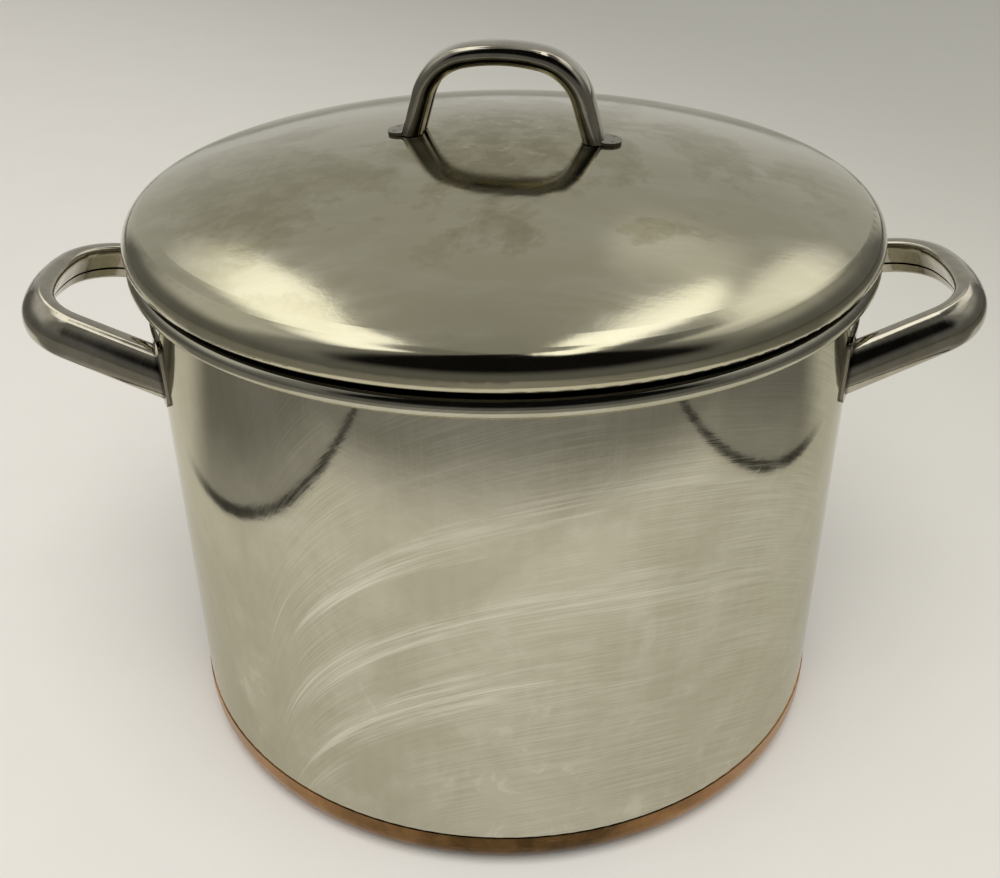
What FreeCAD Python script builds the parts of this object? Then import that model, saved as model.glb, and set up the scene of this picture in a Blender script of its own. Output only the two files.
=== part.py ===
import FreeCAD, Part
import math
import os

# Stainless stockpot: drawn pot with a rolled rim, copper-clad base, domed lift-off lid and loop handles.
# Millimetres. +Z is up, the origin is the centre of the underside, and the side handles point along X.

# Sheet thicknesses
pot_sheet = 0.9
lid_sheet = 0.9
copper_sheet = 0.4
grip_sheet = 1.2
foot_sheet = 1.2
strap_sheet = 1.2

# Pot
pot_radius = 147.5
rim_height = 222.75
base_corner_radius = 11.0
bead_radius = 3.75
bead_curl_angle = 300.0
copper_height = 16.7

# Lid
lid_overhang = 0.4
shoulder_radius = 10.8
haunch_radius = 100.0
shoulder_tilt = 20.0
crown_tilt = 17.0
lip_fold_radius = 3.5
seat_slope = 30.0
skirt_bend_radius = 1.95
skirt_depth = 10.0

# Side handles
grip_drop = 38.8
grip_tilt = 12.6
grip_reach = 51.4
grip_end_radius = 80.0
grip_corner_radius = 31.0
grip_half_width = 40.0
grip_leg_lean = 20.5
grip_section_outer = 6.5
grip_section_top = 8.8
grip_top_radius = 7.6
grip_outer_radius = 11.7
grip_under_radius = 3.2
grip_inner_radius = 2.8
grip_top_back_angle = 10.0
grip_top_front_angle = 37.0
grip_under_angle = 25.0
grip_under_flat = 2.3
grip_seam = 1.2
grip_seam_drop = 2.5

# Foot plates of the side handles
foot_width = 33.0
foot_height = 29.0
foot_rise = 2.5
foot_corner_radius = 4.0
foot_inward_shift = 5.0
foot_weld_spacing = 14.0
foot_weld_inset = 5.0

# Lid handle
strap_turn = -10.5
strap_rise = 31.8
strap_end_radius = 75.7
strap_corner_radius = 22.6
strap_half_width = 32.5
strap_leg_lean = 16.7
strap_section_depth = 16.5
strap_section_thick = 8.8
strap_section_round = 4.0
strap_crown = 1.0
strap_crown_radius = 30.0
strap_slot = 4.0
tab_length = 8.0
tab_width = 13.0
tab_bend_radius = 2.6
tab_upright = 5.0
tab_weld_spacing = 7.0
tab_weld_inset = 3.6

# Welds
weld_radius = 1.8
weld_dimple_radius = 1.4
weld_dimple_depth = 0.25

# Clearances
seat_gap = 0.3
skirt_clearance = 1.0
tab_gap = 0.05
leg_gap = 0.3

origin = FreeCAD.Vector(0, 0, 0)
axis_x = FreeCAD.Vector(1, 0, 0)
axis_y = FreeCAD.Vector(0, 1, 0)
axis_z = FreeCAD.Vector(0, 0, 1)


def sin(degrees):
    return math.sin(math.radians(degrees))


def cos(degrees):
    return math.cos(math.radians(degrees))


def tan(degrees):
    return math.tan(math.radians(degrees))


# Flat sections are drawn in the XZ plane, where a point is a pair (across, up).

def flat_point(pair):
    return FreeCAD.Vector(pair[0], 0, pair[1])


def polar(centre, radius, angle):
    return (centre[0] + radius * cos(angle), centre[1] + radius * sin(angle))


class Straight:
    """A straight run of a sheet's middle line."""

    def __init__(self, start, end):
        self.start = start
        self.end = end

    def side(self, distance):
        """End points and edge of the line that lies distance to the left."""
        across = self.end[0] - self.start[0]
        up = self.end[1] - self.start[1]
        length = math.hypot(across, up)
        shift = (-up / length * distance, across / length * distance)
        first = flat_point((self.start[0] + shift[0], self.start[1] + shift[1]))
        last = flat_point((self.end[0] + shift[0], self.end[1] + shift[1]))
        return first, Part.LineSegment(first, last).toShape(), last


class Bend:
    """A round run of a sheet's middle line, from one polar angle to another."""

    def __init__(self, centre, radius, start_angle, end_angle):
        self.centre = centre
        self.radius = radius
        self.start_angle = start_angle
        self.end_angle = end_angle
        self.start = polar(centre, radius, start_angle)
        self.end = polar(centre, radius, end_angle)

    def side(self, distance):
        """End points and edge of the arc that lies distance to the left."""
        turns_left = self.end_angle > self.start_angle
        radius = self.radius - distance if turns_left else self.radius + distance
        middle_angle = (self.start_angle + self.end_angle) / 2
        first = flat_point(polar(self.centre, radius, self.start_angle))
        middle = flat_point(polar(self.centre, radius, middle_angle))
        last = flat_point(polar(self.centre, radius, self.end_angle))
        return first, Part.Arc(first, middle, last).toShape(), last


def bent_path(corners, radii):
    """Straight runs between the corners, joined by a tangent bend of each inner corner's radius."""
    path = []
    start = corners[0]
    for before, corner, after, radius in zip(corners, corners[1:], corners[2:], radii):
        heading_in = math.atan2(corner[1] - before[1], corner[0] - before[0])
        heading_out = math.atan2(after[1] - corner[1], after[0] - corner[0])
        turn = math.degrees(math.remainder(heading_out - heading_in, 2 * math.pi))
        inset = radius * abs(tan(turn / 2))
        entry = polar(corner, -inset, math.degrees(heading_in))
        normal = math.degrees(heading_in) + math.copysign(90, turn)
        centre = polar(entry, radius, normal)
        path.append(Straight(start, entry))
        path.append(Bend(centre, radius, normal + 180, normal + 180 + turn))
        start = path[-1].end
    path.append(Straight(start, corners[-1]))
    return path


def sheet_face(path, thickness):
    """Section of a bent sheet whose middle line is path."""
    left = [piece.side(thickness / 2) for piece in path]
    right = [piece.side(-thickness / 2) for piece in path]
    edges = [edge for first, edge, last in left + right]
    edges.append(Part.LineSegment(left[0][0], right[0][0]).toShape())
    edges.append(Part.LineSegment(left[-1][2], right[-1][2]).toShape())
    return Part.Face(Part.Wire(Part.__sortEdges__(edges)))


def spun(path, thickness):
    """Sheet spun about Z."""
    return sheet_face(path, thickness).revolve(origin, axis_z, 360)


# Arches lie in the XY plane, symmetric about X, where X is the way from the legs to the arch's top.

def arch_path(top, end_radius, corner_radius, half_width, leg_lean, leg_foot):
    """Middle line of a loop handle: leg, corner, top, corner, leg, from -Y round to +Y."""
    corner_end = 90 - leg_lean
    top_turn = math.degrees(
        math.asin((half_width - corner_radius * sin(corner_end)) / (end_radius - corner_radius)))
    top_centre = (top - end_radius, 0)
    corner_centre = polar(top_centre, end_radius - corner_radius, top_turn)
    leg_top = polar(corner_centre, corner_radius, corner_end)
    leg_length = (leg_top[0] - leg_foot) / cos(leg_lean)
    foot = polar(leg_top, leg_length, 180 - leg_lean)
    lower_centre = (corner_centre[0], -corner_centre[1])
    return [
        Straight((foot[0], -foot[1]), (leg_top[0], -leg_top[1])),
        Bend(lower_centre, corner_radius, -corner_end, -top_turn),
        Bend(top_centre, end_radius, -top_turn, top_turn),
        Bend(corner_centre, corner_radius, top_turn, corner_end),
        Straight(leg_top, foot),
    ]


def swept(section, path):
    """Solid of a section, drawn across (outward, up), carried along an arch in the XY plane."""
    run = path[0]
    heading = math.degrees(math.atan2(run.end[1] - run.start[1], run.end[0] - run.start[0]))
    face = section.copy()
    face.rotate(origin, axis_z, heading - 90)
    face.translate(FreeCAD.Vector(run.start[0], run.start[1], 0))
    solids = []
    for piece in path:
        if isinstance(piece, Straight):
            step = FreeCAD.Vector(piece.end[0] - piece.start[0], piece.end[1] - piece.start[1], 0)
            solids.append(face.extrude(step))
            face.translate(step)
        else:
            centre = FreeCAD.Vector(piece.centre[0], piece.centre[1], 0)
            turn = piece.end_angle - piece.start_angle
            solids.append(face.revolve(centre, axis_z, turn))
            face.rotate(centre, axis_z, turn)
    return solids[0].multiFuse(solids[1:]).removeSplitter()


def weld_nugget(radius, length):
    """Spot weld along +Z with its dimpled face at the origin, reaching down by length."""
    nugget = Part.makeCylinder(radius, length, FreeCAD.Vector(0, 0, -length))
    dimple_point = FreeCAD.Vector(0, 0, -weld_dimple_depth)
    return nugget.cut(Part.makeCone(0, 2 * weld_dimple_radius, 2 * weld_dimple_depth, dimple_point))


def weld_hole(radius, length):
    """Hole that a nugget of the same radius fills, open at the top."""
    return Part.makeCylinder(radius, 2 * length, FreeCAD.Vector(0, 0, -length))


def only_solid(shape):
    """The shape's one solid, with its seams cleaned."""
    return shape.removeSplitter().Solids[0]


# Pot

wall_middle = pot_radius - pot_sheet / 2
floor_middle = copper_sheet + pot_sheet / 2
corner_middle = base_corner_radius - floor_middle
bead_middle = bead_radius - pot_sheet / 2
bead_centre = (wall_middle + bead_middle, rim_height - bead_radius)
corner_centre = (wall_middle - corner_middle, floor_middle + corner_middle)


def pot_body():
    """Drawn shell whose wall curls outward into a hollow bead at the rim."""
    return spun([
        Straight((0, floor_middle), (corner_centre[0], floor_middle)),
        Bend(corner_centre, corner_middle, -90, 0),
        Straight((wall_middle, corner_centre[1]), (wall_middle, bead_centre[1])),
        Bend(bead_centre, bead_middle, 180, 180 - bead_curl_angle),
    ], pot_sheet)


def copper_base():
    """Copper layer that lies on the outside of the shell's floor, corner and lowest wall."""
    middle = copper_sheet / 2
    corner = base_corner_radius - middle
    return spun([
        Straight((0, middle), (corner_centre[0], middle)),
        Bend(corner_centre, corner, -90, 0),
        Straight((corner_centre[0] + corner, corner_centre[1]), (corner_centre[0] + corner, copper_height)),
    ], copper_sheet)


# Lid, seated on the bead by the sloping tuck under its lip, with its edge just past the bead

lid_radius = bead_centre[0] + bead_radius + lid_overhang
lip_middle = lid_radius - lid_sheet / 2
fold_middle = lip_fold_radius - lid_sheet / 2
skirt_bend_middle = skirt_bend_radius - lid_sheet / 2
skirt_middle = pot_radius - pot_sheet - skirt_clearance - lid_sheet / 2
seat_point = polar(bead_centre, bead_radius + seat_gap + lid_sheet / 2, 90 + seat_slope)


def beside_seat(across, distance):
    """Point at a distance from the centre, that lies a distance above the tuck's middle line."""
    up = (distance + sin(seat_slope) * (across - seat_point[0])) / cos(seat_slope)
    return (across, seat_point[1] + up)


fold_centre = beside_seat(lip_middle - fold_middle, fold_middle)
skirt_bend_centre = beside_seat(skirt_middle + skirt_bend_middle, -skirt_bend_middle)
shoulder_centre = (lid_radius - shoulder_radius, fold_centre[1])
haunch_centre = polar(shoulder_centre, shoulder_radius - haunch_radius, 90 - shoulder_tilt)
crown_edge = polar(haunch_centre, haunch_radius, 90 - crown_tilt)
crown_radius = crown_edge[0] / sin(crown_tilt)
crown_centre = (0, crown_edge[1] - crown_radius * cos(crown_tilt))


def lid_shell():
    """Domed lid: crown, haunch and shoulder, folded under at the lip and turned down into a skirt."""
    half = lid_sheet / 2
    crown = Bend(crown_centre, crown_radius - half, 90, 90 - crown_tilt)
    haunch = Bend(haunch_centre, haunch_radius - half, 90 - crown_tilt, 90 - shoulder_tilt)
    shoulder = Bend(shoulder_centre, shoulder_radius - half, 90 - shoulder_tilt, 0)
    fold = Bend(fold_centre, fold_middle, 0, seat_slope - 90)
    skirt_bend = Bend(skirt_bend_centre, skirt_bend_middle, 90 + seat_slope, 180)
    tuck = Straight(fold.end, skirt_bend.start)
    skirt = Straight(skirt_bend.end, (skirt_middle, skirt_bend_centre[1] - skirt_depth))
    return spun([crown, haunch, shoulder, fold, tuck, skirt_bend, skirt], lid_sheet)


# Side handles

grip_height = rim_height - grip_drop
grip_top = pot_radius + grip_reach


def grip_section():
    """Rolled sheet with a full outer face, whose edges meet at a seam on the leaning inner face."""
    half = grip_sheet / 2
    top_front = 90 - grip_top_front_angle
    top_back = 90 + grip_top_back_angle
    top_inset = (grip_outer_radius - grip_top_radius) * cos(top_front)
    top_centre = (
        grip_section_outer - grip_outer_radius + top_inset,
        grip_section_top - grip_top_radius)
    outer_centre = polar(top_centre, grip_top_radius - grip_outer_radius, top_front)
    inner_centre = polar(top_centre, grip_top_radius - grip_inner_radius, top_back)
    under_centre = polar(outer_centre, grip_outer_radius - grip_under_radius, -grip_under_angle)
    lower_centre = (
        under_centre[0] - grip_under_flat,
        under_centre[1] - grip_under_radius + grip_inner_radius)
    face_across = inner_centre[0] - lower_centre[0]
    face_up = inner_centre[1] - lower_centre[1]
    face_normal = math.degrees(math.atan2(face_up, face_across)) + 90

    inner = Bend(inner_centre, grip_inner_radius - half, face_normal, top_back)
    top = Bend(top_centre, grip_top_radius - half, top_back, top_front)
    outer = Bend(outer_centre, grip_outer_radius - half, top_front, -grip_under_angle)
    under = Bend(under_centre, grip_under_radius - half, -grip_under_angle, -90)
    lower = Bend(lower_centre, grip_inner_radius - half, -90, face_normal - 360)

    def on_inner_face(up):
        share = (up - lower.end[1]) / face_up
        return (lower.end[0] + share * face_across, up)

    return sheet_face([
        Straight(on_inner_face(grip_seam / 2 - grip_seam_drop), inner.start),
        inner, top, outer, under,
        Straight(under.end, lower.start),
        lower,
        Straight(lower.end, on_inner_face(-grip_seam / 2 - grip_seam_drop)),
    ], grip_sheet)


def grip_path(leg_foot):
    """The loop's middle line, with legs that end at a distance leg_foot from the pot's axis."""
    return arch_path(
        grip_top, grip_end_radius, grip_corner_radius, grip_half_width, grip_leg_lean, leg_foot)


def grip_foot_place():
    """Distance along X and Y, in the grip's own plane, where the leg's middle line meets the wall."""
    top = grip_path(0)[-1].start
    step = (-cos(grip_leg_lean), sin(grip_leg_lean))
    wall = pot_radius + foot_sheet
    along = top[0] * step[0] + top[1] * step[1]
    length = -along - math.sqrt(along * along - top[0] ** 2 - top[1] ** 2 + wall * wall)
    return (top[0] + length * step[0], top[1] + length * step[1])


foot_x, foot_y = grip_foot_place()
foot_azimuth = math.degrees(math.atan2(foot_y, foot_x))
foot_middle_z = grip_height + (foot_x - pot_radius) * tan(grip_tilt) + foot_rise


def grip():
    """Loop on the +X side, rising outward and ending on its foot plates."""
    loop = swept(grip_section(), grip_path(foot_x - foot_width))
    loop.rotate(FreeCAD.Vector(pot_radius, 0, 0), axis_y, -grip_tilt)
    loop.translate(FreeCAD.Vector(0, 0, grip_height))
    inside = Part.makeCylinder(pot_radius + foot_sheet, 2 * grip_height)
    return only_solid(loop.cut(inside))


def on_wall(shape, side):
    """Shape drawn about the X axis at foot height, turned to the foot on one side of the handle."""
    placed = shape.copy()
    placed.translate(FreeCAD.Vector(0, 0, foot_middle_z))
    placed.rotate(origin, axis_z, side * foot_azimuth)
    return placed


def foot_weld_places(side):
    """Places of a foot's two welds, on its inward end, as offsets along Y and Z."""
    inward = -side * (foot_width / 2 + foot_inward_shift - foot_weld_inset)
    return [(inward, -foot_weld_spacing / 2), (inward, foot_weld_spacing / 2)]


def radial(shape, offset_y, offset_z):
    """Shape along +Z turned to point out along +X, seated on the foot plate's outer face."""
    placed = shape.copy()
    placed.rotate(origin, axis_y, 90)
    wall = pot_radius + foot_sheet
    placed.translate(FreeCAD.Vector(math.sqrt(wall * wall - offset_y * offset_y), offset_y, offset_z))
    return placed


def wall_cylinder(radius):
    """Cylinder about the foot's height, with its seam turned away from the foot."""
    cylinder = Part.makeCylinder(radius, 2 * foot_height, FreeCAD.Vector(0, 0, -foot_height))
    cylinder.rotate(origin, axis_z, 180)
    return cylinder


def foot_plate(side):
    """Curved plate that lies on the wall under one end of the grip, with holes for its welds."""
    outline = Part.makeBox(
        pot_radius, foot_width, foot_height,
        FreeCAD.Vector(pot_radius / 2, -foot_width / 2 - side * foot_inward_shift, -foot_height / 2))
    corners = [edge for edge in outline.Edges if abs(edge.tangentAt(edge.FirstParameter).x) > 0.5]
    outline = outline.makeFillet(foot_corner_radius, corners)
    plate = wall_cylinder(pot_radius + foot_sheet).common(outline).cut(wall_cylinder(pot_radius))
    for offset_y, offset_z in foot_weld_places(side):
        plate = plate.cut(radial(weld_hole(weld_radius, 4 * foot_sheet), offset_y, offset_z))
    return on_wall(only_solid(plate), side)


def foot_welds():
    """The four weld nuggets of one handle, from the wall to the plates' outer faces."""
    nuggets = []
    for side in (-1, 1):
        for offset_y, offset_z in foot_weld_places(side):
            nugget = radial(weld_nugget(weld_radius, 4 * foot_sheet), offset_y, offset_z)
            nugget = nugget.common(wall_cylinder(pot_radius + foot_sheet)).cut(wall_cylinder(pot_radius))
            nuggets.append(on_wall(only_solid(nugget), side))
    return Part.makeCompound(nuggets)


def other_side(shape):
    """The same piece on the -X handle."""
    turned = shape.copy()
    turned.rotate(origin, axis_z, 180)
    return turned


# Lid handle, drawn about the centre of the crown's ball and lifted onto the lid when it is whole

leg_direction = (sin(strap_leg_lean), -cos(strap_leg_lean))


def crown_ball(radius):
    """Ball about the crown's centre, with its seam turned away from the legs."""
    ball = Part.makeSphere(radius)
    ball.rotate(origin, axis_z, 90)
    return ball


def strap_section():
    """Rolled strap with a crowned outer face and an open slot along its inner face."""
    half = strap_sheet / 2
    side = strap_section_depth / 2 - half
    inner = -strap_section_thick / 2 + half
    outer = strap_section_thick / 2 - half
    corners = [
        (inner, strap_slot / 2),
        (inner, side),
        (outer - strap_crown, side),
        (outer, 0),
        (outer - strap_crown, -side),
        (inner, -side),
        (inner, -strap_slot / 2),
    ]
    round_middle = strap_section_round - half
    radii = [round_middle, round_middle, strap_crown_radius, round_middle, round_middle]
    return sheet_face(bent_path(corners, radii), strap_sheet)


def strap_path():
    """The arch's middle line, with X as height above the crown's centre."""
    reach = crown_radius + strap_rise
    foot = crown_radius - strap_rise
    return arch_path(reach, strap_end_radius, strap_corner_radius, strap_half_width, strap_leg_lean, foot)


def upright(shape):
    """Arch drawn in the XY plane, stood up in the XZ plane."""
    stood = shape.copy()
    stood.rotate(origin, axis_x, 90)
    stood.rotate(origin, axis_y, -90)
    return stood


def tab_place():
    """Tilt of the crown under the tab's root, and the root's place on the leg's outer face."""
    leg = strap_path()[-1]
    outer = strap_section_thick / 2 - strap_sheet / 2 - strap_crown
    top = (leg.start[1] + outer * cos(strap_leg_lean), leg.start[0] + outer * sin(strap_leg_lean))
    along = top[0] * leg_direction[0] + top[1] * leg_direction[1]
    reach = crown_radius + tab_gap + strap_sheet / 2
    length = -along - math.sqrt(along * along - top[0] ** 2 - top[1] ** 2 + reach * reach)
    root = (top[0] + length * leg_direction[0], top[1] + length * leg_direction[1])
    return math.degrees(math.atan2(root[0] + tab_length / 2, root[1])), root


tab_tilt, tab_root = tab_place()


def tab_frame(shape):
    """Shape drawn at the crown's top, moved down the crown to the middle of the +X tab."""
    placed = shape.copy()
    placed.rotate(origin, axis_y, tab_tilt)
    return placed


def tab():
    """Flat tongue that turns outward from the foot of the +X leg and lies on the crown."""
    base = crown_radius + tab_gap + strap_sheet / 2
    corner_across = tab_root[0] * cos(tab_tilt) - tab_root[1] * sin(tab_tilt)
    lean = strap_leg_lean + tab_tilt
    upper = (corner_across - tab_upright * sin(lean), base + tab_upright * cos(lean))
    end = (corner_across + tab_length, base)
    path = bent_path([upper, (corner_across, base), end], [tab_bend_radius - strap_sheet / 2])
    strip = sheet_face(path, strap_sheet).extrude(FreeCAD.Vector(0, tab_width, 0))
    strip.translate(FreeCAD.Vector(0, -tab_width / 2, 0))
    round_centre = FreeCAD.Vector(end[0] - tab_width / 2, 0, base - tab_upright)
    round_end = Part.makeCylinder(tab_width / 2, 2 * tab_upright, round_centre)
    square = Part.makeBox(
        tab_length + tab_width, tab_width, 4 * tab_upright,
        FreeCAD.Vector(end[0] - 1.5 * tab_width - tab_length, -tab_width / 2, base - 2 * tab_upright))
    return tab_frame(strip.common(square.fuse(round_end)))


def tab_weld_places():
    """Middle lines of the +X tab's two welds, as points on the tab's upper face."""
    across = tab_root[0] * cos(tab_tilt) - tab_root[1] * sin(tab_tilt) + tab_length - tab_weld_inset
    height = crown_radius + tab_gap + strap_sheet
    return [FreeCAD.Vector(across, side * tab_weld_spacing / 2, height) for side in (-1, 1)]


def both_tabs(shape):
    """Shape at the +X tab and its copy at the other tab."""
    return [shape, other_side(shape)]


def on_lid(shape):
    """Handle part lifted onto the lid and turned about Z to the angle at which it stands there."""
    placed = shape.copy()
    placed.translate(FreeCAD.Vector(0, 0, crown_centre[1]))
    placed.rotate(origin, axis_z, strap_turn)
    return placed


def lid_handle():
    """Rolled strap arch whose feet turn outward into two welded tongues."""
    arch = upright(swept(strap_section(), strap_path())).cut(crown_ball(crown_radius + leg_gap))
    handle = arch.multiFuse(both_tabs(tab()))
    for place in tab_weld_places():
        hole = weld_hole(weld_radius, 2 * strap_sheet)
        hole.translate(place)
        for cutter in both_tabs(tab_frame(hole)):
            handle = handle.cut(cutter)
    return on_lid(only_solid(handle))


def lid_handle_welds():
    """The four weld nuggets that hold the tongues to the crown."""
    nuggets = []
    for place in tab_weld_places():
        nugget = weld_nugget(weld_radius, 2 * strap_sheet)
        nugget.translate(place)
        for seated in both_tabs(tab_frame(nugget)):
            nuggets.append(on_lid(only_solid(seated.cut(crown_ball(crown_radius)))))
    return Part.makeCompound(nuggets)


# Nodes

right_grip = grip()
right_front_foot = foot_plate(-1)
right_rear_foot = foot_plate(1)
right_welds = foot_welds()

nodes = {
    "pot_body": pot_body(),
    "copper_base": copper_base(),
    "right_handle_grip": right_grip,
    "right_handle_front_foot": right_front_foot,
    "right_handle_rear_foot": right_rear_foot,
    "right_handle_spot_welds": right_welds,
    "left_handle_grip": other_side(right_grip),
    "left_handle_front_foot": other_side(right_rear_foot),
    "left_handle_rear_foot": other_side(right_front_foot),
    "left_handle_spot_welds": other_side(right_welds),
    "lid_shell": lid_shell(),
    "lid_handle": lid_handle(),
    "lid_handle_spot_welds": lid_handle_welds(),
}

os.makedirs("parts", exist_ok=True)
for name, shape in nodes.items():
    shape.exportStep("parts/" + name + ".step")
    print(name, len(shape.Solids), "solids, valid:", shape.isValid(), round(shape.Volume, 1), "mm3")
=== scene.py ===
import math
from functools import reduce

import bmesh
import bpy
from mathutils import Matrix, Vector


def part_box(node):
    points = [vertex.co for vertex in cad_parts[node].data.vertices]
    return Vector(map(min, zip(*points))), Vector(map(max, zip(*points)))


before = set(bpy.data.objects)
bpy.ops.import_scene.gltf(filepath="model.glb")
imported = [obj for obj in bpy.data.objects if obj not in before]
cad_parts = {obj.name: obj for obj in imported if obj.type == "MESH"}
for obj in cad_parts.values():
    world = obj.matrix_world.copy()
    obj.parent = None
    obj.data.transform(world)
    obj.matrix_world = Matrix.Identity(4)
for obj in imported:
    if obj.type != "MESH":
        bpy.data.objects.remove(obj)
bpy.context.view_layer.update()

# Stainless stockpot with a copper-clad base, a domed lid and loop handles, in a small studio.
# Metres, with +Z up and the front towards -Y. Colours are linear, and in shaders they end with an alpha
# of one. A pair of sizes is where a change begins and where it is complete.

# Wall radius and the heights of the rim and the crown, taken from the frame
wall_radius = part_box("copper_base")[1].x
rim_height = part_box("pot_body")[1].z
crown_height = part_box("lid_shell")[1].z

# Camera, with its lens and sensor in millimetres
camera_distance = 0.4763
camera_height = 0.4054
camera_pitch = math.radians(31.27)
camera_roll = math.radians(-0.367)
camera_lens = 42.97
camera_sensor = 36.0
camera_shift = -0.00525

# Floor, card and fill lamp
sheet_size = 12.0
floor_drop = 0.0002
card_lift = 0.0004
fill_distance = 3.0
fill_size = 2.4
fill_tilt = math.radians(26)
fill_radiance = 3.7
fill_colour = (1.0, 0.99, 0.965)

# Paper: how painted shade greys it to the right and away, and the part of it that metal shows round the
# pot, with a bowed front, two sides and a dark line along them
paper_shade_reach = (-0.2, 1.2)
paper_shade_away = 0.6
paper_front = -0.36
paper_front_fade = 0.13
paper_front_bow = 1.1
paper_left = -0.312
paper_right = 0.362
paper_edge = 0.005
paper_line = 0.018

# Card past the paper: its colour, how much it covers, and where
card_colour = (0.02, 0.02, 0.02, 1)
card_front_cover = 0.66
card_side_cover = (0.50, 0.72)
card_line_cover = 0.95
card_far_cover = 0.72
card_side_reach = 0.12
card_back = (0.12, 0.0)
card_far_reach = (0.25, 0.55)
card_far_slope = (1.2, 0.8)
card_slope_width = 0.1

# Light of the surroundings
even_light = (0.49, 0.483, 0.455, 1)
lamp_colour = (1.0, 0.99, 0.96, 1)
left_lamp_light = 1.8
right_lamp_light = 1.9
second_lamp_light = (0.62, 1.25)
wall_light = (0.13, 0.24)
front_light = 0.14

# Scrub marks: three zones of swept arcs round the wall, each an arm's sweep shifted up and down.
# Sides are distances along the wall from the middle of a zone.
scrub_zones = 3
scrub_turn = math.radians(14.3)
scrub_arm_left = 0.146
scrub_arm_right = 0.185
scrub_arm_change = 0.03
scrub_steepest = 0.03
scrub_waver = 0.006
scrub_level = 0.140
scrub_step = 0.0375
scrub_lowest = 0.088
scrub_highest = 0.200
scrub_soft_end = 0.012
scrub_start_side = (-0.128, -0.100)
scrub_fading_side = (-0.09, 0.08)
scrub_hair_side = (0.150, 0.120)

# Other marks on the wall, and the tint of what it reflects at a glancing view
glance_tint = (0.84, 0.83, 0.76, 1)
slant_lean = 1.6
slant_height = (0.08, 0.12)
slant_side = (-0.085, -0.110)
blot_height = (0.14, 0.05)
grain_height = (0.16, 0.20)

# Satin inside of the pot, and stains on the lid
satin_radius = (wall_radius - 0.0004, wall_radius - 0.0008)
stain_radius = (0.153, 0.12)
stain_band_middle = 0.005
stain_band_half = (0.085, 0.015)
stain_middle_radius = (0.055, 0.02)

# Painted shade on the rim, under the lid's lip, and where the handles meet the wall and the crown
rim_shade_height = (rim_height - 0.0006, rim_height - 0.0001)
lip_shade_height = (rim_height + 0.0040, rim_height + 0.0032)
lip_shade_radius = (0.1480, 0.1492)
painted_crevice_shade = (0.05, 0.045, 0.035, 1)
foot_shade_inner = wall_radius - 0.001
foot_shade_outer = wall_radius + 0.0016
foot_shade_soft = 0.0005
tongue_shade_height = (crown_height + 0.003, crown_height)
tongue_shade_radius = (0.075, 0.070)
handle_shade = (0.09, 0.08, 0.06, 1)

# Broad patches of tarnish round the copper
tarnish_patches = 3


class Nodes:
    """Short calls for the shader nodes that the finishes and the sky share."""

    def __init__(self, tree, coordinates):
        self.tree = tree
        self.place = self.node("TexCoord").outputs[coordinates]
        self.x, self.y, self.z = self.split(self.place)

    def node(self, kind, *inputs, **settings):
        """Adds a node and puts values into its first inputs."""
        made = self.tree.nodes.new("ShaderNode" + kind)
        for name, value in settings.items():
            setattr(made, name, value)
        for socket, value in zip(made.inputs, inputs):
            self.put(value, socket)
        return made

    def put(self, value, socket):
        """Links an output to a socket, or sets the socket to a plain value."""
        if isinstance(value, bpy.types.NodeSocket):
            self.tree.links.new(value, socket)
        else:
            socket.default_value = value

    def fill(self, node, inputs):
        """Puts values into a node's inputs by their names."""
        for name, value in inputs.items():
            self.put(value, node.inputs[name])
        return node

    def math(self, operation, *values):
        return self.node("Math", *values, operation=operation).outputs[0]

    def chain(self, operation, values):
        """Joins a row of values by an operation of two."""
        return reduce(lambda joined, value: self.math(operation, joined, value), values)

    def plus(self, *values):
        return self.chain("ADD", values)

    def minus(self, value, taken):
        return self.math("SUBTRACT", value, taken)

    def times(self, *values):
        return self.chain("MULTIPLY", values)

    def most(self, *values):
        """Largest of the values."""
        return self.chain("MAXIMUM", values)

    def centred(self, noise):
        """Shifts a noise so that it runs to either side of zero."""
        return self.minus(noise, 0.5)

    def span(self, value, low, high, out_low=0.0, out_high=1.0):
        """Smooth step from one output to the other as a value goes from low to high."""
        made = self.node("MapRange", value, low, high, out_low, out_high, interpolation_type="SMOOTHSTEP")
        return made.outputs[0]

    def within(self, *edges):
        """Product of smooth steps. An edge is what span takes for one of them."""
        return self.times(*(self.span(*edge) for edge in edges))

    def window(self, value, low, high, soft):
        """One between low and high, with soft ends."""
        return self.within((value, low - soft, low + soft), (value, high + soft, high - soft))

    def split(self, vector):
        return self.node("SeparateXYZ", vector).outputs

    def join(self, x, y, z):
        return self.node("CombineXYZ", x, y, z).outputs[0]

    def scaled(self, vector, x, y, z):
        return self.node("VectorMath", vector, (x, y, z), operation="MULTIPLY").outputs[0]

    def turn(self):
        """Angle round the Z axis: 0 at the front and + to the right."""
        return self.math("ARCTAN2", self.x, self.times(self.y, -1.0))

    def radius(self):
        """Distance from the Z axis."""
        return self.math("SQRT", self.plus(self.times(self.x, self.x), self.times(self.y, self.y)))

    def noise(self, vector, scale, detail=2.0, rough=0.5, distortion=0.0):
        inputs = {"Vector": vector, "Scale": scale, "Detail": detail, "Roughness": rough,
                  "Distortion": distortion}
        return self.fill(self.node("TexNoise"), inputs).outputs[0]

    def mix(self, share, first, second):
        """Mixes two colours, whose sockets a Mix node has at inputs 6 and 7 and at output 2."""
        made = self.node("Mix", share, data_type="RGBA")
        self.put(first, made.inputs[6])
        self.put(second, made.inputs[7])
        return made.outputs[2]


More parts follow.
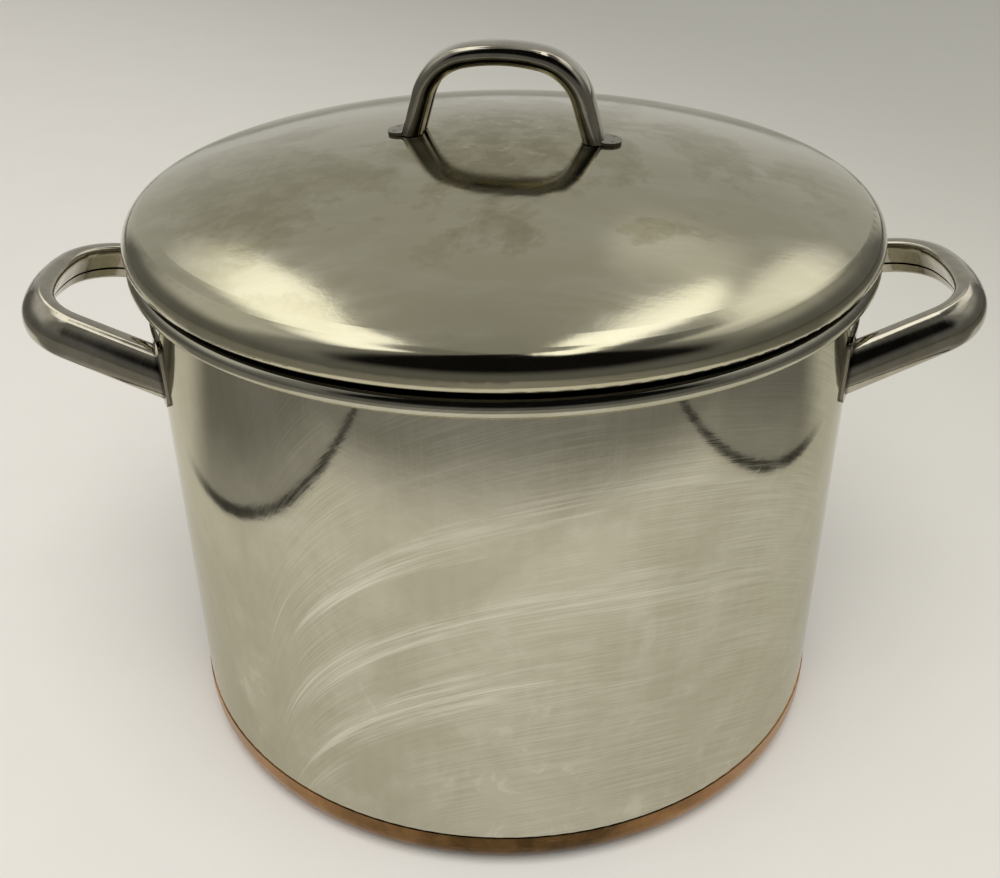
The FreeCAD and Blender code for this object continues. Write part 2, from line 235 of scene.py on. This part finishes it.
class Finish(Nodes):
    """A procedural material."""

    def __init__(self, name):
        self.material = bpy.data.materials.new(name)
        self.material.use_nodes = True
        super().__init__(self.material.node_tree, "Object")
        self.surface = self.tree.nodes["Principled BSDF"]

    def pits(self, scale, size, share):
        """Small round marks of about a size, in a share of the cells of a scattered pattern."""
        cells = self.fill(self.node("TexVoronoi"), {"Vector": self.place, "Scale": scale})
        inside = self.span(cells.outputs["Distance"], size * scale, 0.4 * size * scale)
        chosen = self.math("LESS_THAN", self.split(cells.outputs["Color"])[0], share)
        return self.times(inside, chosen)

    def shades(self, pattern, low, high, first, second):
        """Goes from the first colour to the second as a pattern goes from low to high."""
        return self.mix(self.span(pattern, low, high), first, second)

    def layered(self, base, *layers):
        """Lays colours over a base. A layer is a mark, its strength and its colour."""
        colour = base
        for mark, strength, paint in layers:
            colour = self.mix(self.times(mark, strength), colour, paint)
        return colour

    def relief(self, *layers):
        """Normal of fine bumps, from the lowest layer up. A layer is a pattern and its height."""
        inputs = {}
        for pattern, height in layers:
            made = self.fill(self.node("Bump"), {"Height": pattern, "Distance": height, **inputs})
            inputs = {"Normal": made.outputs[0]}
        return inputs["Normal"]

    def coat(self, inputs):
        """Fills in the surface, and gives the material."""
        self.fill(self.surface, inputs)
        return self.material

    def metal(self, colour, roughness, normal):
        """Fills in the surface as bare metal, and gives the material."""
        return self.coat({"Metallic": 1.0, "Base Color": colour, "Roughness": roughness, "Normal": normal})


class Sky(Nodes):
    """Surroundings by direction, in degrees: a heading from the front, + to the right, and a rise."""

    def __init__(self, tree):
        super().__init__(tree, "Generated")
        self.heading = self.math("DEGREES", self.turn())
        self.rise = self.math("DEGREES", self.math("ARCSINE", self.z))

    def patch(self, headings, rises, light):
        """A soft patch of light. Its headings and its rises are two ends and their softness."""
        return self.times(self.window(self.heading, *headings), self.window(self.rise, *rises), light)


# Finishes

def scrub_arcs(steel):
    """Side of a point in its scrub zone, the height of the top of its arc, and the zone's number."""
    zone_half = math.pi / scrub_zones
    from_zone = steel.minus(steel.turn(), scrub_turn)
    zone = steel.math("FLOOR", steel.math("DIVIDE", steel.plus(from_zone, zone_half), 2 * zone_half))
    side = steel.times(steel.math("WRAP", from_zone, zone_half, -zone_half), wall_radius)
    arm = steel.span(side, -scrub_arm_change, scrub_arm_change, scrub_arm_left, scrub_arm_right)
    reached = steel.minus(steel.times(arm, arm), steel.times(side, side))
    sink = steel.math("SQRT", steel.most(reached, scrub_steepest * scrub_steepest))
    level = steel.plus(steel.z, steel.minus(arm, sink))
    return side, level, zone


def scrub_marks(steel, side, level, zone):
    """Pale strokes of the scrubbing, faint hairs round them, and the lines that the strokes are made of."""
    bent = steel.plus(level, steel.times(steel.centred(steel.noise(steel.place, 9.0, 1.0)), scrub_waver))
    seed = steel.times(zone, 0.37)

    def drawn_out(stretch, scale, detail, rough):
        """Noise that runs along the arcs."""
        return steel.noise(steel.join(bent, steel.times(side, stretch), seed), scale, detail, rough)

    strokes = drawn_out(0.16, 62.0, 2.0, 0.5)
    lines = drawn_out(0.035, 420.0, 4.0, 0.62)
    hairs = drawn_out(0.016, 1500.0, 2.0, 0.6)
    line_mark = steel.span(lines, 0.44, 0.66)
    hair_mark = steel.span(hairs, 0.42, 0.64)

    # Strokes start sharply on the one side of a zone and thin out to fine lines on the other
    sweep = steel.math("COSINE", steel.times(steel.minus(bent, scrub_level), 2 * math.pi / scrub_step))
    bundles = steel.plus(strokes, steel.times(sweep, 0.09))
    ragged = steel.plus(steel.times(steel.centred(strokes), 0.10), steel.times(steel.centred(lines), 0.07))
    begun = steel.span(steel.plus(ragged, side), *scrub_start_side)
    fading = steel.span(side, *scrub_fading_side, 1.0, 0.25)
    reach = steel.window(level, scrub_lowest, scrub_highest, scrub_soft_end)
    stroke = steel.times(steel.span(bundles, 0.50, 0.62), begun, fading, reach)
    pale = steel.times(stroke, steel.plus(steel.times(line_mark, 0.65), steel.times(hair_mark, 0.35)))
    in_sweep = steel.span(steel.math("ABSOLUTE", side), *scrub_hair_side)
    faint = steel.times(hair_mark, in_sweep, steel.span(steel.noise(steel.place, 15.0, 2.0), 0.30, 0.6))
    return pale, faint, lines


def slant_scratches(steel, side):
    """Slanting scratches high on the wall, beside the start of the strokes."""
    along = steel.times(steel.turn(), wall_radius)
    over = steel.plus(steel.times(along, slant_lean), steel.z)
    down = steel.minus(along, steel.times(steel.z, slant_lean))
    scratches = steel.noise(steel.join(over, steel.times(down, 0.03), 0.0), 330.0, 4.0, 0.62)
    patches = steel.noise(steel.place, 11.0, 1.0)
    return steel.within((scratches, 0.54, 0.68), (patches, 0.48, 0.6),
                        (steel.z, *slant_height), (side, *slant_side))


def body_steel():
    """Hand-scrubbed steel: pale strokes of fine lines, swept in arcs over a nearly mirror-smooth wall."""
    steel = Finish("body_steel_scrubbed")
    side, level, zone = scrub_arcs(steel)
    pale, faint, lines = scrub_marks(steel, side, level, zone)
    slants = slant_scratches(steel, side)

    # Clouds and blotches, and the upright grain of the drawn wall
    clouds = steel.noise(steel.place, 22.0, 5.0, 0.6, 0.5)
    blots = steel.noise(steel.place, 70.0, 5.0, 0.66, 1.2)
    grain = steel.noise(steel.scaled(steel.place, 1.0, 1.0, 0.04), 1100.0, 3.0, 0.6)
    blot = steel.within((blots, 0.53, 0.6), (clouds, 0.48, 0.6), (steel.z, *blot_height, 0.3, 1.0))
    grain_mark = steel.within((grain, 0.5, 0.72), (steel.z, *grain_height, 0.2, 1.0))

    # Satin inside, in fine rings, and painted shade on the rim where the lid sits
    radius = steel.radius()
    inside = steel.span(radius, *satin_radius)
    rings = steel.noise(steel.join(steel.plus(radius, steel.z), 0.0, 0.0), 1400.0, 3.0, 0.6)
    satin = steel.shades(rings, 0.36, 0.64, (0.60, 0.58, 0.50, 1), (0.70, 0.68, 0.60, 1))
    seat_shade = steel.span(steel.z, *rim_shade_height)

    colour = steel.layered(
        steel.shades(clouds, 0.36, 0.66, (0.437, 0.419, 0.324, 1), (0.512, 0.494, 0.396, 1)),
        (blot, 0.45, (0.66, 0.645, 0.545, 1)),
        (grain_mark, 0.18, (0.66, 0.635, 0.53, 1)),
        (slants, 0.34, (0.70, 0.68, 0.56, 1)),
        (faint, 0.36, (0.68, 0.66, 0.55, 1)),
        (pale, 0.75, (0.80, 0.785, 0.675, 1)),
        (inside, 1.0, satin),
        (seat_shade, 0.9, painted_crevice_shade),
        (steel.pits(38.0, 0.0010, 0.3), 0.85, (0.11, 0.10, 0.085, 1)),
    )
    marks = steel.most(pale, steel.times(slants, 0.5), steel.times(faint, 0.3))
    rough = steel.plus(steel.span(clouds, 0.3, 0.75, 0.045, 0.075), steel.times(marks, 0.13),
                       steel.times(inside, steel.span(rings, 0.3, 0.7, 0.16, 0.24)))
    normal = steel.relief((clouds, 0.00006), (grain, 0.000002), (lines, 0.000006))
    steel.coat({"Specular Tint": glance_tint})
    return steel.metal(colour, rough, normal)


def lid_steel():
    """Nearly mirror-smooth steel with brown clouded stains across the middle and faint smears."""
    steel = Finish("lid_steel_stained")
    radius = steel.radius()
    clouds = steel.noise(steel.place, 15.0, 8.0, 0.62, 0.25)
    mottle = steel.noise(steel.place, 95.0, 7.0, 0.68, 0.3)
    scum = steel.noise(steel.place, 170.0, 6.0, 0.66, 0.3)
    smears = steel.noise(steel.scaled(steel.place, 0.35, 1.0, 1.0), 60.0, 5.0, 0.6, 0.6)

    # Stains gather in a band from side to side, and most of all round the middle, under a pale crust
    band = steel.span(steel.math("ABSOLUTE", steel.minus(steel.y, stain_band_middle)), *stain_band_half)
    middle = steel.span(radius, *stain_middle_radius)
    ground = steel.plus(clouds, steel.times(band, 0.07), steel.times(middle, 0.13))
    stain = steel.within((ground, 0.51, 0.585), (radius, *stain_radius))
    outline = steel.times(steel.window(ground, 0.53, 0.55, 0.012), steel.span(radius, *stain_radius))
    crust = steel.times(steel.within((scum, 0.57, 0.63), (mottle, 0.42, 0.55)), middle)
    # Painted shade under the lid's lip, in the crevice where it sits on the rim
    under_lip_shade = steel.within((steel.z, *lip_shade_height), (radius, *lip_shade_radius))

    brown = steel.shades(mottle, 0.4, 0.62, (0.32, 0.285, 0.16, 1), (0.43, 0.395, 0.25, 1))
    colour = steel.layered(
        steel.shades(smears, 0.4, 0.7, (0.515, 0.486, 0.345, 1), (0.56, 0.53, 0.395, 1)),
        (stain, steel.span(middle, 0.0, 1.0, 0.62, 1.0), brown),
        (outline, 0.14, (0.36, 0.315, 0.19, 1)),
        (crust, 0.35, (0.66, 0.64, 0.54, 1)),
        (under_lip_shade, 0.9, painted_crevice_shade),
        (steel.pits(34.0, 0.0011, 0.28), 0.75, (0.13, 0.115, 0.09, 1)),
    )
    dirt = steel.most(crust, steel.times(stain, 0.35))
    rough = steel.plus(steel.span(smears, 0.3, 0.75, 0.085, 0.125), steel.times(dirt, 0.08))
    return steel.metal(colour, rough, steel.relief((clouds, 0.0001), (smears, 0.00002)))


def handle_steel():
    """Polished steel with finger smears and fine lines, with painted shade where it meets the wall and the
    lid.
    """
    steel = Finish("handle_steel_polished")
    radius = steel.radius()
    smears = steel.noise(steel.place, 85.0, 4.0, 0.6, 0.6)
    lines = steel.noise(steel.scaled(steel.place, 0.12, 0.12, 1.0), 1300.0, 3.0, 0.6)
    wear = steel.span(steel.noise(steel.place, 40.0, 5.0, 0.65), 0.5, 0.68)
    # Painted shade where the feet meet the wall and the tongues meet the crown
    shade_at_wall = steel.window(radius, foot_shade_inner, foot_shade_outer, foot_shade_soft)
    shade_at_crown = steel.within((steel.z, *tongue_shade_height), (radius, *tongue_shade_radius))
    colour = steel.layered(
        steel.shades(smears, 0.35, 0.7, (0.42, 0.39, 0.31, 1), (0.51, 0.48, 0.39, 1)),
        (wear, 0.35, (0.40, 0.365, 0.27, 1)),
        (steel.most(steel.times(shade_at_wall, 0.75), steel.times(shade_at_crown, 0.45)), 1.0, handle_shade),
        (steel.pits(120.0, 0.0006, 0.4), 0.5, (0.2, 0.18, 0.15, 1)),
    )
    rough = steel.plus(steel.span(smears, 0.3, 0.75, 0.05, 0.10), steel.times(wear, 0.06))
    return steel.metal(colour, rough, steel.relief((smears, 0.00004), (lines, 0.000006)))


def dull_copper():
    """Dull copper, tarnished brown in broad patches round the base, with rub lines along it."""
    copper = Finish("copper_dull")
    clouds = copper.noise(copper.place, 45.0, 5.0, 0.65, 0.5)
    rubs = copper.noise(copper.scaled(copper.place, 0.1, 0.1, 1.0), 1600.0, 3.0, 0.6)
    patches = copper.math("COSINE", copper.times(copper.turn(), tarnish_patches))
    blotches = copper.centred(copper.noise(copper.place, 15.0, 4.0, 0.6, 0.8))
    tarnish = copper.span(copper.plus(patches, copper.times(blotches, 2.5)), -0.8, 0.8)
    brown = copper.shades(clouds, 0.4, 0.62, (0.07, 0.037, 0.010, 1), (0.125, 0.068, 0.021, 1))
    colour = copper.layered(
        copper.shades(clouds, 0.35, 0.68, (0.34, 0.172, 0.055, 1), (0.45, 0.24, 0.092, 1)),
        (tarnish, 1.0, brown),
        (copper.span(rubs, 0.55, 0.75), 0.25, (0.50, 0.31, 0.16, 1)),
    )
    rough = copper.plus(copper.span(clouds, 0.3, 0.75, 0.2, 0.32), copper.times(tarnish, 0.06))
    return copper.metal(colour, rough, copper.relief((clouds, 0.00008), (rubs, 0.00002)))


def dress_nodes():
    """Gives every solid the finish that its slot in the record stands for."""
    finishes = {
        "body_steel": body_steel(),
        "lid_steel": lid_steel(),
        "handle_steel": handle_steel(),
        "copper": dull_copper(),
    }
    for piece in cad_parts.values():
        for slot in piece.material_slots:
            slot.material = finishes[slot.material.name.split(".")[0]]


# Studio

def floor_paper():
    """Pale paper, with painted shade that greys it a little towards the right and the back."""
    paper = Finish("floor_paper")
    pulp = paper.noise(paper.place, 14.0, 4.0, 0.6)
    tooth = paper.noise(paper.place, 900.0, 3.0)
    # Painted shade: the paper darkens to the right and towards the back, as the light falls off
    painted_shade_away = paper.span(paper.plus(paper.times(paper.y, paper_shade_away), paper.x), *paper_shade_reach)
    colour = paper.layered(
        (0.80, 0.775, 0.735, 1),
        (paper.span(pulp, 0.3, 0.7), 0.12, (0.70, 0.68, 0.64, 1)),
        (painted_shade_away, 1.0, (0.52, 0.515, 0.47, 1)),
    )
    return paper.coat({
        "Base Color": colour,
        "Roughness": paper.span(pulp, 0.3, 0.7, 0.75, 0.9),
        "Specular IOR Level": 0.2,
        "Normal": paper.relief((tooth, 0.00005)),
    })


def dark_surround():
    """Dark card past the paper's front and sides, see-through over the paper."""
    card = Finish("dark_surround")
    bowed = card.minus(card.y, card.times(card.x, card.x, paper_front_bow))
    front = card.span(bowed, paper_front, paper_front - paper_front_fade, 0.0, card_front_cover)
    past = card.most(card.minus(paper_left, card.x), card.minus(card.x, paper_right))
    ahead = card.span(card.y, *card_back)
    beside = card.times(card.span(past, 0.0, paper_edge),
                        card.span(past, paper_line, card_side_reach, *card_side_cover), ahead)
    on_line = card.window(past, 0.5 * paper_edge, paper_line, 0.5 * paper_edge)
    line = card.times(on_line, ahead, card_line_cover)
    slope = card.math("DIVIDE", card.y, card.most(card.math("ABSOLUTE", card.x), card_slope_width))
    far = card.within((past, *card_far_reach, 0.0, card_far_cover), (slope, *card_far_slope))
    return card.coat({
        "Base Color": card_colour,
        "Roughness": 1.0,
        "Specular IOR Level": 0.0,
        "Alpha": card.most(front, beside, line, far),
    })


def stage_sheet(name, height, material):
    """A flat square of the set."""
    shape = bmesh.new()
    bmesh.ops.create_grid(shape, x_segments=1, y_segments=1, size=sheet_size / 2)
    mesh = bpy.data.meshes.new(name)
    shape.to_mesh(mesh)
    shape.free()
    mesh.materials.append(material)
    piece = bpy.data.objects.new(name, mesh)
    piece.location.z = height
    bpy.context.scene.collection.objects.link(piece)
    return piece


def add_floor():
    """The paper, and a card round it that only reflections show."""
    stage_sheet("floor", -floor_drop, floor_paper())
    card = stage_sheet("dark_surround", card_lift, dark_surround())
    for rays in ("camera", "diffuse", "transmission", "volume_scatter", "shadow"):
        setattr(card, "visible_" + rays, False)


def add_fill():
    """Broad soft lamp above the front, which metal doesn't show."""
    lamp = bpy.data.lights.new("front_fill", "AREA")
    lamp.shape = "SQUARE"
    lamp.size = fill_size
    lamp.energy = fill_radiance * math.pi * fill_size * fill_size
    lamp.color = fill_colour
    holder = bpy.data.objects.new("front_fill", lamp)
    bpy.context.scene.collection.objects.link(holder)
    holder.matrix_world = Matrix.Rotation(fill_tilt, 4, "X") @ Matrix.Translation((0, 0, fill_distance))
    holder.visible_camera = False
    holder.visible_glossy = False


def left_lamp(sky):
    """A long box overhead, with a leg that bends down at the back."""
    above = sky.minus(sky.rise, sky.span(sky.heading, -145, -80, 61, 67))
    box = sky.within((above, -17, 0), (above, 10, 5), (sky.heading, -156, -151), (sky.heading, -67, -82))
    behind = sky.minus(sky.heading, sky.span(sky.rise, 25, 60, -152, -156.3))
    inward = sky.minus(sky.heading, sky.span(sky.rise, 33, 52, -147, -141.5))
    leg = sky.within((behind, -1.5, 1.5), (inward, 5, -3), (sky.rise, 14, 44), (sky.rise, 70, 62))
    return sky.times(sky.most(box, leg), left_lamp_light)


def right_lamp(sky):
    """A box like the left one, higher up, with its leg at the back."""
    above = sky.minus(sky.rise, sky.span(sky.heading, 110, 165, 80, 62))
    box = sky.times(sky.window(above, -5, 5, 2.5),
                    sky.within((sky.heading, 28, 60), (sky.heading, 168, 160)))
    outward = sky.minus(sky.heading, sky.span(sky.rise, 42, 66, 154, 167))
    leg = sky.within((sky.heading, 148, 152), (outward, 2.5, -2.5), (sky.rise, 38, 46), (sky.rise, 72, 66))
    return sky.times(sky.most(box, leg), right_lamp_light)


def second_lamp(sky):
    """A dimmer box below the right one, brighter towards the back."""
    above = sky.minus(sky.rise, sky.span(sky.heading, 90, 165, 54, 39))
    box = sky.within((above, -21, -7), (above, 13, 3), (sky.heading, 64, 94), (sky.heading, 152, 148.5))
    return sky.times(box, sky.span(sky.heading, 85, 145, *second_lamp_light))


def room_walls(sky):
    """Walls of the room, brighter behind and dark at the front, with soft patches and a darker gap."""
    aside = sky.math("ABSOLUTE", sky.heading)
    left_haze = sky.patch((-146, -84, 12), (24, 58, 12), 0.40)
    right_haze = sky.patch((82, 130, 12), (24, 48, 10), 0.20)
    right_glow = sky.patch((150, 168, 5), (34, 48, 6), 0.47)
    backdrop = sky.within((aside, 136, 147), (sky.rise, -4, 32, 0.46, 0.20), (sky.rise, 46, 68, 1.0, 0.5))
    patches = sky.most(left_haze, right_haze, right_glow, backdrop)
    gap = sky.patch((64, 140, 12), (62, 74, 3), 0.45)
    walls = sky.times(sky.plus(sky.span(sky.rise, 0, 36, *wall_light), patches), sky.minus(1.0, gap))
    front_half = sky.plus(sky.span(sky.rise, 10, 35, 44, 54), sky.span(sky.heading, -15, 15, 0, 11))
    lit = sky.span(sky.minus(aside, front_half), -9, 10, 0.02, 1.0)
    low_front = sky.span(sky.rise, 34, 10, 0.0, front_light)
    return sky.most(sky.times(walls, lit), low_front)


def add_world():
    """Even light for the paper, and the lamps and walls that metal shows."""
    world = bpy.data.worlds.new("studio")
    bpy.context.scene.world = world
    world.use_nodes = True
    sky = Sky(world.node_tree)
    even = sky.fill(sky.tree.nodes["Background"], {"Color": even_light})
    brightness = sky.most(room_walls(sky), left_lamp(sky), right_lamp(sky), second_lamp(sky))
    shown = sky.node("Background", lamp_colour, brightness)
    glossy = sky.node("LightPath").outputs["Is Glossy Ray"]
    either = sky.node("MixShader", glossy, even.outputs[0], shown.outputs[0])
    sky.fill(sky.tree.nodes["World Output"], {"Surface": either.outputs[0]})


def add_camera():
    """Looks down at the pot from the front."""
    lens = bpy.data.cameras.new("camera")
    lens.sensor_fit = "HORIZONTAL"
    lens.sensor_width = camera_sensor
    lens.lens = camera_lens
    lens.shift_x = camera_shift
    camera = bpy.data.objects.new("camera", lens)
    bpy.context.scene.collection.objects.link(camera)
    place = Matrix.Translation((0, -camera_distance, camera_height))
    tilt = Matrix.Rotation(math.pi / 2 - camera_pitch, 4, "X")
    camera.matrix_world = place @ tilt @ Matrix.Rotation(camera_roll, 4, "Z")
    bpy.context.scene.camera = camera


dress_nodes()
add_floor()
add_fill()
add_world()
add_camera()
bpy.context.scene.view_settings.view_transform = "Standard"
